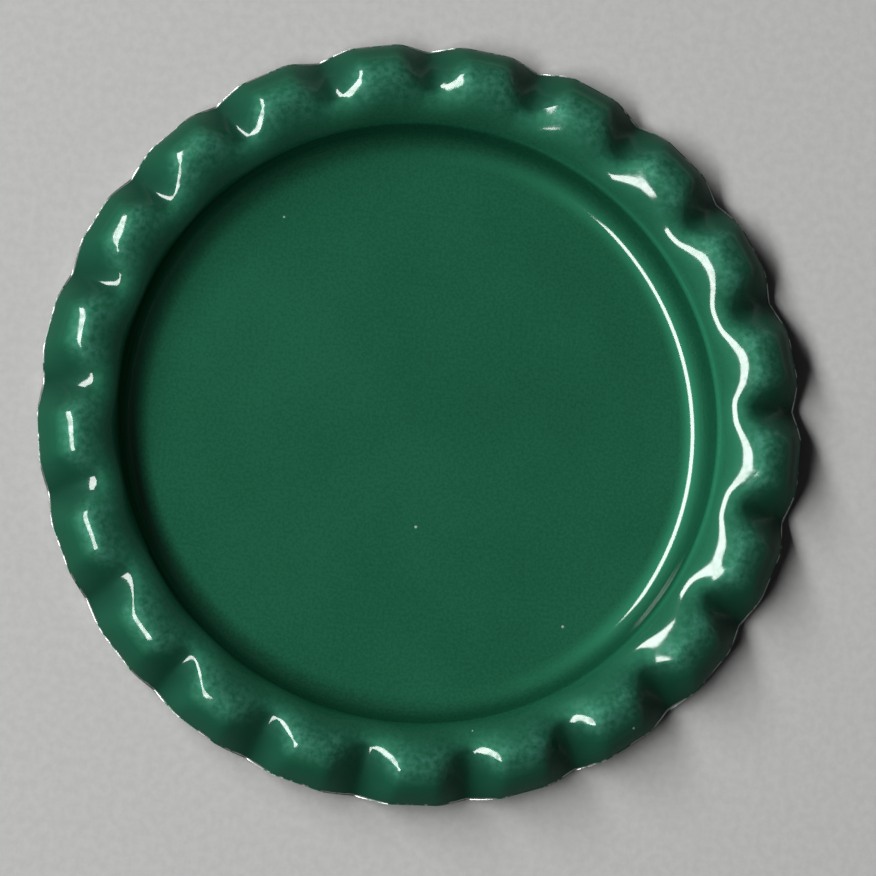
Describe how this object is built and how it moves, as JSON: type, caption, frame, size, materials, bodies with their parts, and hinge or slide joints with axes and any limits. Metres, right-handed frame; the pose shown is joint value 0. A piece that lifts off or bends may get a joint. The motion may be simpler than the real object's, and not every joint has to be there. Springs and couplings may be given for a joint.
{
  "type": "bottle cap",
  "caption": "Flattened crown bottle cap in green lacquered tinplate, open side up, with a flat round recess and a fluted rim turned out and down.",
  "frame": {"origin": "centre of the flat panel's underside, where the cap rests", "axes": "+Z along the cap's axis, out of the open recess; +X through the middle of one knuckle"},
  "size_m": [0.0349, 0.035, 0.0029],
  "materials": {
    "lacquer": "glossy deep green lacquer on both faces, with a fine satin grain on the flat floor; the cut edge of the sheet is bare tin"
  },
  "bodies": {
    "root": {"cap": "lacquer"}
  },
  "joints": []
}
